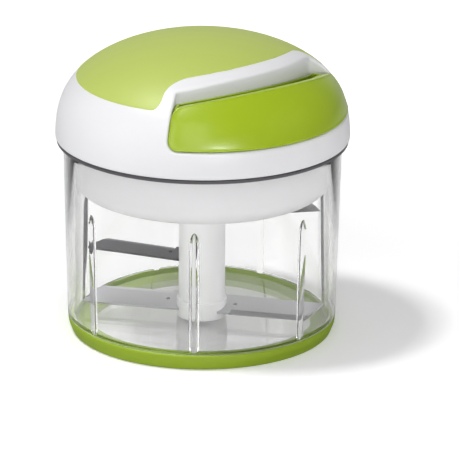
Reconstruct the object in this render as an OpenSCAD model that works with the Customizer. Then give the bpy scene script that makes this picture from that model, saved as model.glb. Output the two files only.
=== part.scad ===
// Manual pull cord food chopper: clear bowl on a soft base ring, blade column
// on a centre pin, and a domed lid that holds a recoil cord reel and its handle.
// Origin at the centre of the base, +Z up, the handle pulls towards -Y.

/* [Bowl] */
// How far the bowl rim stays inside the lid
bowl_inset = 3.5; // [3:0.1:4.5]
// How much the bowl narrows from its rim to its foot
bowl_taper = 2.1; // [1:0.1:3]
// Wall thickness of the bowl
bowl_wall = 3.8; // [2.5:0.1:4.2]
// Height of the bowl rim
bowl_rim_z = 90; // [80:0.5:98]
// Thickness of the bowl floor
floor_t = 3.6; // [3:0.1:4.4]
// Inner fillet between floor and wall
bowl_fillet = 3; // [1:0.5:4]
// Number of upright ribs inside the bowl
rib_n = 7; // [5:1:9]
// Width of one rib
rib_w = 4.2; // [3:0.1:5]
// How far a rib stands out of the wall
rib_d = 1.1; // [0.8:0.1:1.3]
// Distance of the rib tips below the bowl rim
rib_drop = 25; // [23:0.5:50]
// Turn of the first rib about the bowl axis
rib_turn = 18.5; // [0:0.1:51]

/* [Base ring] */
// Height of the soft base ring
ring_h = 7.2; // [6.6:0.1:7.8]
// How far the ring stays inside the bowl wall
ring_inset = 0.2; // [0:0.1:0.5]
// How much the ring narrows towards the table
ring_flare = 1.9; // [1:0.1:2.8]
// Width of the sole on the table
sole_w = 7.3; // [4:0.1:15]
// Thickness of the ring under the bowl floor
ring_sole_t = 3; // [2:0.1:3.4]
// Thickness of the ring beside the bowl foot
ring_side_t = 2.4; // [1.8:0.1:3]

/* [Blades] */
// Radius of the blade column
column_r = 10.7; // [9.5:0.1:12]
// How far the foot collar stands out of the column
collar_step = 0.8; // [0.5:0.1:1.5]
// Height of the foot collar
collar_h = 8; // [7:0.1:10]
// Distance of the column top below the bowl rim
column_drop = 15; // [13:0.5:18]
// Space between the column and the bowl floor
column_lift = 0.7; // [0.5:0.1:1.2]
// Radius of the centre pin in the bowl floor
pivot_r = 3; // [2.5:0.1:3.4]
// Height of the centre pin above the floor
pivot_h = 15.5; // [12:0.5:20]
// Thickness of the blade steel
blade_t = 1; // [0.6:0.1:1.4]
// Width of the upper and middle blades
blade_w = 11.5; // [9:0.5:13]
// Width of the lower blade
low_blade_w = 15; // [12:0.5:17]
// Slant of the lower blade about its own length
low_blade_tilt = 12; // [0:1:16]
// Slant of the upper and middle blades about their own length
blade_tilt = 5; // [0:1:10]
// Distance of the upper blade below the hexagon socket
upper_blade_drop = 7; // [4:0.5:12]
// Height of the middle blade
middle_blade_z = 32.5; // [28:0.5:40]
// Distance of the lower blade above the foot of the column
lower_blade_rise = 5.1; // [4.5:0.1:6.5]
// Space between the upper and middle blade tips and the ribs at the bowl foot
blade_tip_gap = 0.3; // [0.2:0.1:6]
// Space between the lower blade tips and the ribs at the bowl foot
low_blade_tip_gap = 1.5; // [1.3:0.1:6]
// Direction of the upper blade
upper_blade_turn = -30; // [-45:1:-15]
// Direction of the middle blade
middle_blade_turn = 116; // [105:1:127]
// Direction of the lower blade
lower_blade_turn = 124; // [114:1:134]
// How far a blade tip is cut back at its short edge
blade_tip_cut = 6; // [3:0.5:10]
// Width of the ground slope along each cutting edge
grind_w = 3; // [2:0.1:4.5]
// Radius of the small hole near each blade root
blade_hole_r = 0.9; // [0.5:0.1:1.3]
// Width of the hexagon drive across its flats
hex_flats = 10.8; // [10:0.1:11.2]
// Depth of the hexagon socket in the column
socket_d = 15; // [12:0.5:16]

/* [Lid] */
// Radius of the lid
lid_r = 67; // [61:0.1:73]
// Height of the top of the lid
lid_h = 139; // [128:0.5:152]
// How far below the bowl rim the curve of the lid starts
dome_lap = 2; // [2:0.5:5]
// Roundness of the lid seen from above the shoulder
dome_plan_power = 1.75; // [1.65:0.01:1.9]
// Squareness of the lid shoulder
dome_rise_power = 3.12; // [3:0.01:3.3]
// Wall thickness of the lid
dome_wall = 3; // [2.6:0.1:3.2]
// Thickness of the top cover
cover_t = 1.3; // [1:0.1:1.5]
// Height of the top cover from its lower edge to the top of the lid
cover_h = 19; // [15:0.5:23]
// Width of the bare margin beside the recess ends
cover_side_gap = 5.5; // [4:0.5:7]
// Width of the bare margin behind the recess
cover_back_gap = 7.5; // [6:0.5:9]
// Thickness of the seal between lid and bowl
seal_t = 2; // [1.6:0.1:2.4]
// How far the seal stays inside the lid
seal_inset = 0.6; // [0.3:0.1:1.5]
// Space between the lid base and the bowl wall
plug_gap = 0.7; // [0.5:0.1:1.5]
// How deep the lid base reaches into the bowl
plug_depth = 23.4; // [20:0.1:24.5]
// Wall thickness of the lid base
plug_wall = 2.2; // [1.8:0.1:2.6]
// Rounding of the lower edge of the lid base
plug_round = 9; // [6:0.5:11]
// Thickness of the lid base flange
flange_t = 2; // [1.6:0.1:2.4]

/* [Recess and handle] */
// Half angle of the recess about the pull direction
recess_half_angle = 56; // [53:0.2:58]
// Depth of the recess from the lid's widest line to its back wall near the top
recess_depth = 27; // [26:0.1:28]
// Depth of the recess from the lid's widest line to its back wall behind the fingers
finger_depth = 31; // [30:0.1:32]
// Distance of the centre of the recess arcs behind the lid axis
recess_arc_back = 26; // [22:0.1:28]
// Place of the recess floor up the rise of the lid curve
recess_floor_share = 0.321569; // [0.31:0.000001:0.34]
// Wall thickness of the recess
recess_wall_t = 2; // [1.6:0.1:2.2]
// Seam between the handle and the recess
handle_seam = 0.4; // [0.3:0.05:0.6]
// Place of the handle's top edge up the rise of the lid curve
handle_top_share = 0.760784; // [0.74:0.000001:0.775]
// Fall of the handle's top face towards the lid axis
handle_top_fall = 16; // [13:0.5:18]
// Depth of the handle from the lid's widest line to its back behind the fingers
handle_depth = 11.8; // [11.4:0.1:12.4]
// Depth of the handle from the lid's widest line to its back at the lip
lip_depth = 21; // [20.4:0.1:21.6]
// Distance of the centre of the handle's back arcs behind the lid axis
handle_arc_back = 12; // [10:0.1:14]
// Skin thickness of the handle
handle_skin = 3; // [2.4:0.1:3.2]
// Thickness of the handle's back plate
handle_plate_t = 2.2; // [1.8:0.1:2.4]

/* [Reel] */
// Radius of the reel drum
drum_r = 17; // [16.6:0.1:18]
// Space between the reel flanges and the housing
reel_rim_gap = 2; // [1:0.1:3]
// How full the reel is wound
winding_share = 0.5; // [0.3:0.05:0.6]
// Thickness of each reel flange
reel_flange_t = 1.6; // [1.2:0.1:2]
// Thickness of the cord
cord_d = 2; // [1.6:0.1:2.2]
// Place of the cord run up the rise of the lid curve
cord_share = 0.431373; // [0.425:0.000001:0.44]
// Radius of the drive shaft
shaft_r = 5; // [4.6:0.1:5.1]
// Number of ratchet teeth
ratchet_n = 8; // [6:2:8]
// Tip radius of the ratchet teeth
ratchet_r = 8; // [7.8:0.1:8.2]
// Depth of the ratchet teeth
ratchet_depth = 1.4; // [1.2:0.1:1.6]
// Space between the reel housing and the recess wall
housing_gap = 2; // [1.5:0.1:4]
// Wall thickness of the reel housing
housing_wall = 2; // [1.6:0.1:2]
// Thickness of the reel deck
deck_t = 2.5; // [2:0.1:3]
// Turns of the recoil spring
spring_turns = 6; // [4:1:7]
// Thickness of the spring strip
spring_t = 0.6; // [0.4:0.05:0.8]

/* [Hidden] */

$fn = 96;
eps = 0.01;
run_fit = 0.05;
part_fit = 0.1;
far = 120;
over = 1;

white = "#f0f0f2";
lime = "#a2c02a";
pale_lime = "#bed46b";
steel = "#b9bcc0";
grey = "#7f7c7f";

// Bowl heights and radii
bowl_rim_r = lid_r - bowl_inset;
bowl_foot_r = bowl_rim_r - bowl_taper;
ring_r = bowl_foot_r - ring_inset;
ring_sole_r = ring_r - ring_flare;
ring_hole_r = ring_sole_r - sole_w;
floor_under_z = ring_sole_t;
floor_z = floor_under_z + floor_t;
foot_in_r = ring_r - ring_side_t - part_fit;
wall_start_z = ring_h + part_fit;
foot_step = 0.6;
rib_z = wall_start_z + foot_step + part_fit;
rib_top_z = bowl_rim_z - rib_drop;
pin_seat_z = floor_under_z + floor_t / 3;
function bowl_out(z) =
    bowl_foot_r + (bowl_rim_r - bowl_foot_r) * (z - wall_start_z) / (bowl_rim_z - wall_start_z);
function bowl_in(z) = bowl_out(z) - bowl_wall;
bowl_draft = atan((bowl_rim_r - bowl_foot_r) / (bowl_rim_z - wall_start_z));

// Points on an arc from angle a0 to a1 about (cx, cz)
function arc(cx, cz, r, a0, a1, n = 8) =
    [for (i = [0 : n]) let (a = a0 + (a1 - a0) * i / n) [cx + r * cos(a), cz + r * sin(a)]];

// Column heights and blade reach
column_z = floor_z + column_lift;
collar_r = column_r + collar_step;
collar_top_z = column_z + collar_h;
column_top_z = bowl_rim_z - column_drop;
column_edge = 1;
collar_edge = 0.8;
pivot_top_z = floor_z + pivot_h;
pivot_edge = 1;
pivot_end_gap = 0.3;
hex_gap = 0.4;
hex_end_gap = 1;
socket_z = column_top_z - socket_d;
function hex_r(flats) = flats / 2 / cos(30);
upper_blade_z = socket_z - upper_blade_drop;
lower_blade_z = column_z + lower_blade_rise;
rib_face_r = bowl_foot_r - bowl_wall - rib_d;
blade_reach = rib_face_r - blade_tip_gap;
low_blade_reach = rib_face_r - low_blade_tip_gap;
blade_slot = part_fit / 4;
blade_hub_gap = 1.6;
blade_hole_x = column_r + 5;
grind_edge = blade_t * 0.2;

// Lid heights
dome_base_z = bowl_rim_z - dome_lap;
dome_rise = lid_h - dome_base_z;
seal_z = bowl_rim_z;
seal_r = lid_r - seal_inset;
seal_edge = 0.5;
lid_rim_z = seal_z + seal_t;
plug_r = bowl_rim_r - bowl_wall - plug_gap;
plug_z = bowl_rim_z - plug_depth;
flange_z = lid_rim_z;
flange_r = lid_r - dome_wall - 3 * part_fit;
well_gap = 0.9;
well_r = max(column_r, collar_r) + well_gap;
well_top_z = column_top_z + 2 * hex_end_gap;

// Height at a share of the lid curve's rise
function lid_level(share) = dome_base_z + dome_rise * share;

// Radius and height of the lid curve, drawn in by t, for the curve angle s
function dome_pt(t, s) = [
    (lid_r - t) * pow(cos(s), 2 / dome_plan_power),
    dome_base_z + (dome_rise - t) * pow(sin(s), 2 / dome_rise_power)
];

// Height of the lid curve, drawn in by t, at radius r
function dome_height(t, r) =
    dome_base_z + (dome_rise - t) * pow(1 - pow(r / (lid_r - t), dome_plan_power), 1 / dome_rise_power);

// Radius of the lid curve, drawn in by t, at height z
function dome_radius(t, z) =
    (lid_r - t) * pow(1 - pow((z - dome_base_z) / (dome_rise - t), dome_rise_power), 1 / dome_plan_power);

// Recess and handle
cover_edge_z = lid_h - cover_h;
recess_wall_r = lid_r - recess_depth + recess_arc_back;
recess_deep_r = lid_r - finger_depth + recess_arc_back;
recess_floor_z = lid_level(recess_floor_share);
handle_top_z = lid_level(handle_top_share);
handle_top_inset = 18.2;
handle_top_r = lid_r - handle_top_inset;
handle_back_r = lid_r - handle_depth + handle_arc_back;
handle_lip_r = lid_r - lip_depth + handle_arc_back;
cord_z = lid_level(cord_share);
handle_screw_z = cord_z;
screw_r = 1.4;
screw_head_r = 2.8;
lip_h = 3.8;
lip_end_z = handle_top_z - lip_h;
lip_screw_gap = 1.2;
lip_start_z = handle_screw_z + screw_head_r + lip_screw_gap;
undercut_rise = 0.2;
undercut_top_z = handle_top_z + undercut_rise;
undercut_gap = 4;
undercut_low_z = lip_start_z + undercut_gap;
lip_step = 1;
handle_side_skin = handle_skin * 0.6;
handle_top_skin = handle_skin * 0.9;
handle_boss_x = 22;
handle_boss_r = 3;
handle_boss_back = 0.8;
handle_screw_l = 6;
handle_screw_sink = 1;
handle_hole_spare = 2.5;
handle_hole_l = handle_screw_l + handle_hole_spare;

// Mechanism radii
wall_face_y = -(recess_deep_r - recess_arc_back);
housing_out_r = -wall_face_y - recess_wall_t - housing_gap;
housing_r = housing_out_r - housing_wall;
reel_flange_r = housing_r - reel_rim_gap;
winding_r = drum_r + (reel_flange_r - drum_r) * winding_share;
arbor_r = shaft_r + 2;
bush_wall = 3;
bush_rim = 2;

// Mechanism heights
deck_room = 3.1;
deck_top_z = recess_floor_z - recess_wall_t - deck_room;
deck_z = deck_top_z - deck_t;
reel_gap = 0.7;
reel_z = deck_top_z + reel_gap;
housing_cap_t = 2;
housing_top_gap = 3.87;
housing_top_z = dome_height(dome_wall, housing_out_r) - housing_top_gap - housing_cap_t;
arbor_gap = 1;
mech_h = housing_top_z - arbor_gap - reel_z;
reel_share = 0.7;
reel_h = mech_h * reel_share;
arbor_h = mech_h - reel_h;
reel_top_z = reel_z + reel_h;
tray_t = arbor_h * 0.15;
tray_z = reel_top_z + arbor_h * 0.125;
spring_z = tray_z + tray_t + arbor_h * 0.075;
spring_h = arbor_h * 0.675;
top_boss_h = 2;
shaft_top_z = housing_top_z + housing_cap_t + top_boss_h;
clip_t = 1;
clip_rim = 2.4;
bush_flange_t = 2;
clip_z = deck_z - bush_flange_t - clip_t / 2 - clip_t;
clip_groove = 0.6;

// Clutch inside the reel drum
cavity_r = drum_r - 2.5;
cavity_h = reel_h * 0.625;
ratchet_z = reel_z + reel_h * 0.125;
ratchet_h = reel_h * 0.4375;
pawl_pin_r = 1;
pawl_pin_foot = 1;
pawl_pin_bite = (reel_h - cavity_h) / 2;
pawl_pin_gap = 0.2;
pawl_end_r = 1.9;
pawl_back_gap = 0.6;
pawl_pivot_r = cavity_r - pawl_end_r - pawl_back_gap;
pawl_pivot_turn = 40;
pawl_tip = [7.6, 0.75];
pawl_tip_r = 0.5;
pawl_side_gap = 0.4;

// Deck posts, housing ears and screws
post_turns = [45, 135, 225, 315];
post_inset = 17;
post_pitch_r = lid_r - post_inset;
post_r = 4;
screw_head_t = 1.5;
screw_bite = 3.3;
screw_end_gap = 0.3;
deck_r = post_pitch_r + post_r;
ear_turns = [90, 200, 340];
ear_r = 4;
ear_lap = 1;
ear_pitch_r = housing_out_r + ear_r - ear_lap;
ear_t = 2;

// Cord run
cord_r = cord_d / 2;
cord_window_w = 10;
cord_window_h = reel_h * 0.625;
guide_bore_r = cord_r + 0.6;
guide_tube_r = guide_bore_r + 1.2;
guide_flange_r = guide_tube_r + 0.6;
guide_flange_t = 1;
guide_tail = 0.6;
plate_face_y = -(handle_back_r - handle_arc_back);
anchor_gap = 0.8;
anchor_r = cord_z - recess_floor_z - handle_seam - handle_side_skin - anchor_gap;
anchor_edge = 1;
anchor_y = plate_face_y - handle_plate_t - part_fit;
anchor_l = dome_radius(handle_skin, cord_z + anchor_r - anchor_edge) + anchor_y - part_fit;
cord_gap = 0.3;
lead_r = winding_r + cord_r + cord_gap;
lead_knee_gap = 2;
lead_knee_y = wall_face_y + recess_wall_t + lead_knee_gap;
lead_turn = acos(lead_r / -lead_knee_y);
lead_points = [
    [lead_r * sin(lead_turn), -lead_r * cos(lead_turn), cord_z],
    [0, lead_knee_y, cord_z],
    [0, anchor_y + part_fit / 2, cord_z]
];

// Curve angle at which the lid curve, drawn in by t, reaches height z
function dome_angle(t, z) =
    z <= dome_base_z ? 0 : asin(pow((z - dome_base_z) / (dome_rise - t), dome_rise_power / 2));

// Solid of the lid curve, drawn in by t, above height from_z
module dome_solid(t, from_z) {
    steps = 26;
    first = dome_angle(t, from_z);
    rotate_extrude()
        polygon(concat(
            [[0, from_z]],
            from_z < dome_base_z ? [[lid_r - t, from_z]] : [],
            [for (i = [0 : steps - 1]) dome_pt(t, first + (90 - first) * i / steps)],
            [[0, lid_h - t]]
        ));
}

// Wedge about the pull direction, grown by g
module pull_wedge(g) {
    apex = [0, g / sin(recess_half_angle)];
    reach = far * [sin(recess_half_angle), -cos(recess_half_angle)];
    polygon([apex, apex + [-reach[0], reach[1]], apex + reach]);
}

// Solid turned about an upright line that far behind the lid axis
module arc_solid(back, low_r, low_z, top_r, top_z) {
    translate([0, back, 0])
        rotate_extrude()
            polygon([[0, 0], [low_r, 0], [low_r, low_z], [top_r, top_z], [top_r, far * 2], [0, far * 2]]);
}

// Space of the handle recess, grown by g
module recess_zone(g) {
    difference() {
        translate([0, 0, recess_floor_z - g])
            linear_extrude(far)
                pull_wedge(g);
        arc_solid(recess_arc_back, recess_deep_r - g, undercut_low_z, recess_wall_r - g, undercut_top_z);
    }
}

// Bare margin round the recess, narrowed by gap, where the top cover stops
module cover_margin(gap) {
    difference() {
        translate([0, 0, dome_base_z])
            linear_extrude(far)
                pull_wedge(cover_side_gap - gap);
        translate([0, recess_arc_back, 0])
            cylinder(r = recess_wall_r - cover_back_gap + gap, h = far * 2);
    }
}

// Layer of the top cover: from grow outside the lid curve to depth t under it
module cover_layer(grow, t, gap) {
    difference() {
        dome_solid(-grow, cover_edge_z - gap);
        dome_solid(t, dome_base_z);
        cover_margin(gap);
    }
}

// Everything below the handle's top face, lowered by d
module under_handle_top(d) {
    translate([0, -handle_top_r, handle_top_z - d])
        rotate([-handle_top_fall, 0, 0])
            translate([-far, -far, -far])
                cube([2 * far, 2 * far, far]);
}

// Flat blade arm along +X, grown by g on every face; its cutting edge at -Y is ground to a slope
module blade_arm(width, reach, from_x, long_side, g) {
    half_t = blade_t / 2 + g;
    difference() {
        translate([0, 0, -half_t])
            linear_extrude(2 * half_t)
                polygon([
                    [from_x - g, -width / 2 - g],
                    [long_side < 0 ? reach : reach - blade_tip_cut, -width / 2 - g],
                    [long_side < 0 ? reach - blade_tip_cut : reach, width / 2 + g],
                    [from_x - g, width / 2 + g]
                ]);
        if (g == 0)
            translate([blade_hole_x - blade_hole_r, 0, 0])
                rotate([90, 0, 90])
                    linear_extrude(far)
                        polygon([
                            [-width / 2 - over, half_t + over], [-width / 2 - over, grind_edge - half_t],
                            [-width / 2, grind_edge - half_t], [grind_w - width / 2, half_t],
                            [grind_w - width / 2, half_t + over]
                        ]);
    }
}

module upper_blade_form(g) {
    translate([0, 0, upper_blade_z])
        rotate([0, 0, upper_blade_turn])
            rotate([blade_tilt, 0, 0])
                blade_arm(blade_w, blade_reach, pivot_r, -1, g);
}

module middle_blade_form(g) {
    translate([0, 0, middle_blade_z])
        rotate([0, 0, middle_blade_turn])
            rotate([-blade_tilt, 0, 0])
                blade_arm(blade_w, blade_reach, pivot_r, 1, g);
}

module lower_blade_form(g) {
    translate([0, 0, lower_blade_z])
        rotate([0, 0, lower_blade_turn])
            rotate([-low_blade_tilt, 0, 0])
                difference() {
                    union() {
                        blade_arm(low_blade_w, low_blade_reach, -eps, 1, g);
                        rotate([0, 0, 180])
                            blade_arm(low_blade_w, low_blade_reach, -eps, 1, g);
                    }
                    cylinder(r = pivot_r + blade_hub_gap - g, h = far, center = true);
                }
}

// Small hole near a blade root, in the blade's own frame
module blade_hole() {
    translate([blade_hole_x, 0, 0])
        cylinder(r = blade_hole_r, h = far / 10, center = true, $fn = 24);
}

// Screw standing on its head, shank upwards
module screw(shank_l) {
    cylinder(r = screw_head_r, h = screw_head_t, $fn = 32);
    translate([0, 0, screw_head_t - eps])
        cylinder(r = screw_r, h = shank_l + eps, $fn = 32);
}

// Ratchet outline: steep faces catch the pawls, ramps let them slide
module ratchet_outline() {
    pitch = 360 / ratchet_n;
    polygon([for (k = [0 : ratchet_n - 1], step = [0 : 1])
        let (a = k * pitch + step, r = ratchet_r - step * ratchet_depth)
        [r * cos(a), r * sin(a)]]);
}

// Pawl outline from its pivot to its tip, for the tooth at angle 0
module pawl_outline() {
    pivot = pawl_pivot_r * [cos(pawl_pivot_turn), sin(pawl_pivot_turn)];
    run = pawl_tip - pivot;
    side = [-run[1], run[0]] / norm(run);
    polygon(concat(
        [pivot + side * pawl_end_r, pivot - side * pawl_end_r * 0.6],
        [pawl_tip - side * pawl_tip_r, pawl_tip + side * pawl_tip_r * 2]
    ));
    translate(pivot)
        circle(r = pawl_end_r);
}

module pawl(turn) {
    rotate([0, 0, turn])
        translate([0, 0, ratchet_z + pawl_side_gap])
            linear_extrude(ratchet_h - 2 * pawl_side_gap)
                difference() {
                    pawl_outline();
                    rotate([0, 0, pawl_pivot_turn])
                        translate([pawl_pivot_r, 0])
                            circle(r = pawl_pin_r + run_fit);
                }
}

// Tube of radius r swept along points, eight sides
module swept_tube(points, r) {
    sides = 8;
    last = len(points) - 1;
    function heading(i) =
        let (d = points[min(i + 1, last)] - points[max(i - 1, 0)])
        d / norm(d);
    rings = [for (i = [0 : last], k = [0 : sides - 1])
        let (d = heading(i), across = [-d[1], d[0], 0], a = 360 * k / sides)
        points[i] + r * (across * cos(a) + [0, 0, 1] * sin(a))];
    walls = [for (i = [0 : last - 1], k = [0 : sides - 1])
        let (a = i * sides + k, b = i * sides + (k + 1) % sides)
        each [[a, b, b + sides], [a, b + sides, a + sides]]];
    ends = [
        [for (k = [sides - 1 : -1 : 0]) k],
        [for (k = [0 : sides - 1]) last * sides + k]
    ];
    polyhedron(rings, concat(walls, ends));
}

module bowl() {
    color("lightcyan", 0.4)
        difference() {
            union() {
                rotate_extrude()
                    polygon(concat(
                        [[0, floor_under_z], [foot_in_r, floor_under_z], [foot_in_r, wall_start_z]],
                        [[bowl_foot_r - foot_step, wall_start_z], [bowl_foot_r, wall_start_z + foot_step]],
                        [[bowl_rim_r, bowl_rim_z], [bowl_rim_r - bowl_wall, bowl_rim_z]],
                        arc(bowl_in(floor_z + bowl_fillet) - bowl_fillet, floor_z + bowl_fillet,
                            bowl_fillet, 0, -90),
                        [[0, floor_z]]
                    ));
                for (k = [0 : rib_n - 1])
                    rotate([0, 0, rib_turn + 360 * k / rib_n])
                        translate([bowl_in(rib_z) + rib_w / 2 - rib_d, 0, rib_z])
                            rotate([0, bowl_draft, 0])
                                rotate_extrude($fn = 32)
                                    polygon([
                                        [0, 0], [rib_w / 2, 0], [rib_w / 2, rib_top_z - rib_z - rib_w],
                                        [rib_w / 4, rib_top_z - rib_z - rib_w / 3], [0, rib_top_z - rib_z]
                                    ]);
            }
            translate([0, 0, pin_seat_z])
                cylinder(r = pivot_r + part_fit / 5, h = floor_t);
        }
}

module base_ring() {
    color(lime)
        rotate_extrude()
            polygon(concat(
                [[ring_hole_r, 0], [ring_sole_r, 0]],
                [[ring_r - ring_flare / 4, ring_h * 0.28], [ring_r, ring_h * 0.5]],
                [[ring_r - ring_flare / 10, ring_h * 0.85], [ring_r - ring_flare * 0.4, ring_h]],
                [[foot_in_r + part_fit, ring_h], [foot_in_r + part_fit, ring_sole_t]],
                [[ring_hole_r, ring_sole_t]]
            ));
}

module pivot_pin() {
    color(steel)
        rotate_extrude($fn = 48)
            polygon([
                [0, pin_seat_z], [pivot_r, pin_seat_z], [pivot_r, pivot_top_z - pivot_edge],
                [pivot_r - pivot_edge, pivot_top_z], [0, pivot_top_z]
            ]);
}

module blade_column() {
    color(white)
        difference() {
            rotate_extrude()
                polygon([
                    [0, column_z], [collar_r - collar_edge, column_z], [collar_r, column_z + collar_edge],
                    [collar_r, collar_top_z - collar_edge], [column_r + collar_step / 4, collar_top_z],
                    [column_r, collar_top_z + collar_step / 4], [column_r, column_top_z - column_edge],
                    [column_r - column_edge, column_top_z], [0, column_top_z]
                ]);
            translate([0, 0, column_z - eps])
                cylinder(r = pivot_r + run_fit, h = pivot_top_z - column_z + pivot_end_gap);
            translate([0, 0, socket_z])
                cylinder(r = hex_r(hex_flats + hex_gap), h = socket_d + eps, $fn = 6);
            upper_blade_form(blade_slot);
            middle_blade_form(blade_slot);
            lower_blade_form(blade_slot);
        }
}

module upper_blade() {
    color(steel)
        difference() {
            upper_blade_form(0);
            translate([0, 0, upper_blade_z])
                rotate([0, 0, upper_blade_turn])
                    rotate([blade_tilt, 0, 0])
                        blade_hole();
        }
}

module middle_blade() {
    color(steel)
        difference() {
            middle_blade_form(0);
            translate([0, 0, middle_blade_z])
                rotate([0, 0, middle_blade_turn])
                    rotate([-blade_tilt, 0, 0])
                        blade_hole();
        }
}

module lower_blade() {
    color(steel)
        difference() {
            lower_blade_form(0);
            for (half = [0, 180])
                translate([0, 0, lower_blade_z])
                    rotate([0, 0, lower_blade_turn])
                        rotate([-low_blade_tilt, 0, 0])
                            rotate([0, 0, half])
                                blade_hole();
        }
}

module lid_dome() {
    color(white)
        difference() {
            dome_solid(0, lid_rim_z);
            difference() {
                dome_solid(dome_wall, lid_rim_z - over);
                recess_zone(recess_wall_t);
                for (a = post_turns)
                    rotate([0, 0, a])
                        translate([post_pitch_r, 0, deck_top_z])
                            cylinder(r = post_r, h = far, $fn = 48);
            }
            recess_zone(0);
            cover_layer(over, cover_t + part_fit, part_fit);
            for (a = post_turns)
                rotate([0, 0, a])
                    translate([post_pitch_r, 0, deck_top_z - eps])
                        cylinder(r = screw_r + part_fit / 2, h = screw_bite + screw_end_gap, $fn = 32);
            translate([0, wall_face_y - over, cord_z])
                rotate([-90, 0, 0])
                    cylinder(r = guide_tube_r + part_fit / 2, h = recess_wall_t + 3 * over, $fn = 48);
        }
}

module top_cover() {
    color(pale_lime)
        cover_layer(0, cover_t, 0);
}

module lid_base() {
    inner_round = plug_round - plug_wall;
    color(white)
        difference() {
            rotate_extrude()
                polygon(concat(
                    [[0, plug_z]],
                    arc(plug_r - plug_round, plug_z + plug_round, plug_round, -90, 0),
                    [[plug_r, flange_z], [flange_r, flange_z], [flange_r, flange_z + flange_t]],
                    [[plug_r - plug_wall, flange_z + flange_t]],
                    arc(plug_r - plug_round, plug_z + plug_round, inner_round, 0, -90),
                    [[well_r + plug_wall, plug_z + plug_wall]],
                    [[well_r + plug_wall, well_top_z + plug_wall], [0, well_top_z + plug_wall]]
                ));
            translate([0, 0, plug_z - over])
                cylinder(r = well_r, h = well_top_z - plug_z + over);
            translate([0, 0, well_top_z - over])
                cylinder(r = shaft_r + well_gap, h = far);
        }
}

module seal_ring() {
    color(grey)
        rotate_extrude()
            polygon([
                [plug_r + part_fit, seal_z], [seal_r - seal_edge, seal_z], [seal_r, seal_z + seal_t * 0.4],
                [seal_r, lid_rim_z], [plug_r + part_fit, lid_rim_z]
            ]);
}

module reel_deck() {
    color("#d8d8dc")
        translate([0, 0, deck_z])
            difference() {
                cylinder(r = deck_r, h = deck_t);
                translate([0, 0, -1])
                    cylinder(r = shaft_r + bush_wall + part_fit / 4, h = deck_t + 2);
                for (a = post_turns)
                    rotate([0, 0, a])
                        translate([post_pitch_r, 0, -1])
                            cylinder(r = screw_r + part_fit, h = deck_t + 2, $fn = 32);
                for (a = ear_turns)
                    rotate([0, 0, a])
                        translate([ear_pitch_r, 0, -1])
                            cylinder(r = screw_r + part_fit, h = deck_t + 2, $fn = 32);
            }
}

module deck_screws() {
    color(steel)
        for (a = post_turns)
            rotate([0, 0, a])
                translate([post_pitch_r, 0, deck_z - screw_head_t])
                    screw(deck_t + screw_bite);
}

module bearing_bush() {
    color("#c9a55a")
        difference() {
            union() {
                translate([0, 0, deck_z - bush_flange_t])
                    cylinder(r = shaft_r + bush_wall + bush_rim, h = bush_flange_t);
                translate([0, 0, deck_z - eps])
                    cylinder(r = shaft_r + bush_wall, h = deck_t + eps);
            }
            translate([0, 0, deck_z - bush_flange_t - 1])
                cylinder(r = shaft_r + run_fit, h = deck_t + bush_flange_t + 2);
        }
}

module reel_housing() {
    color("#d8d8dc")
        difference() {
            union() {
                translate([0, 0, deck_top_z])
                    cylinder(r = housing_out_r, h = housing_top_z + housing_cap_t - deck_top_z);
                translate([0, 0, deck_top_z])
                    cylinder(r = shaft_r + bush_wall, h = shaft_top_z - deck_top_z);
                for (a = ear_turns)
                    rotate([0, 0, a])
                        translate([ear_pitch_r, 0, deck_top_z])
                            cylinder(r = ear_r, h = ear_t, $fn = 48);
            }
            translate([0, 0, deck_top_z - 1])
                cylinder(r = housing_r, h = housing_top_z - deck_top_z + 1);
            translate([0, 0, deck_top_z])
                cylinder(r = shaft_r + run_fit, h = far);
            for (a = ear_turns)
                rotate([0, 0, a])
                    translate([ear_pitch_r, 0, deck_top_z - 1])
                        cylinder(r = screw_r + part_fit, h = ear_t + 2, $fn = 32);
            translate([-cord_window_w / 2, -housing_out_r - over, cord_z - cord_window_h / 2])
                cube([cord_window_w, housing_wall * 3, cord_window_h]);
        }
}

module housing_screws() {
    color(steel)
        for (a = ear_turns)
            rotate([0, 0, a])
                translate([ear_pitch_r, 0, deck_top_z + ear_t + screw_head_t])
                    rotate([180, 0, 0])
                        screw(ear_t + deck_t - screw_end_gap);
}

module spring_tray() {
    color("#d8d8dc")
        translate([0, 0, tray_z])
            difference() {
                cylinder(r = housing_r - part_fit, h = tray_t);
                translate([0, 0, -1])
                    cylinder(r = arbor_r + arbor_gap, h = tray_t + 2 * over);
            }
}

// Flat strip wound as an even spiral from the arbor to the housing
module recoil_spring() {
    steps = 24 * spring_turns;
    start_r = arbor_r + cord_gap;
    end_r = housing_r - cord_gap - spring_t;
    function spiral(i, out) =
        let (r = start_r + (end_r - start_r) * i / steps + out, a = 360 * i / 24)
        [r * cos(a), r * sin(a)];
    color(steel)
        translate([0, 0, spring_z])
            linear_extrude(spring_h)
                polygon(concat(
                    [for (i = [0 : steps]) spiral(i, 0)],
                    [for (i = [steps : -1 : 0]) spiral(i, spring_t)]
                ));
}

module cord_guide() {
    color("#6f7073")
        translate([0, wall_face_y + recess_wall_t + guide_tail - part_fit / 2, cord_z])
            rotate([90, 0, 0])
                difference() {
                    union() {
                        cylinder(r = guide_tube_r, h = recess_wall_t + guide_tail, $fn = 48);
                        translate([0, 0, recess_wall_t + guide_tail - eps])
                            cylinder(r = guide_flange_r, h = guide_flange_t + eps, $fn = 48);
                    }
                    translate([0, 0, -1])
                        cylinder(r = guide_bore_r, h = recess_wall_t + guide_tail + guide_flange_t + 2, $fn = 48);
                }
}

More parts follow.
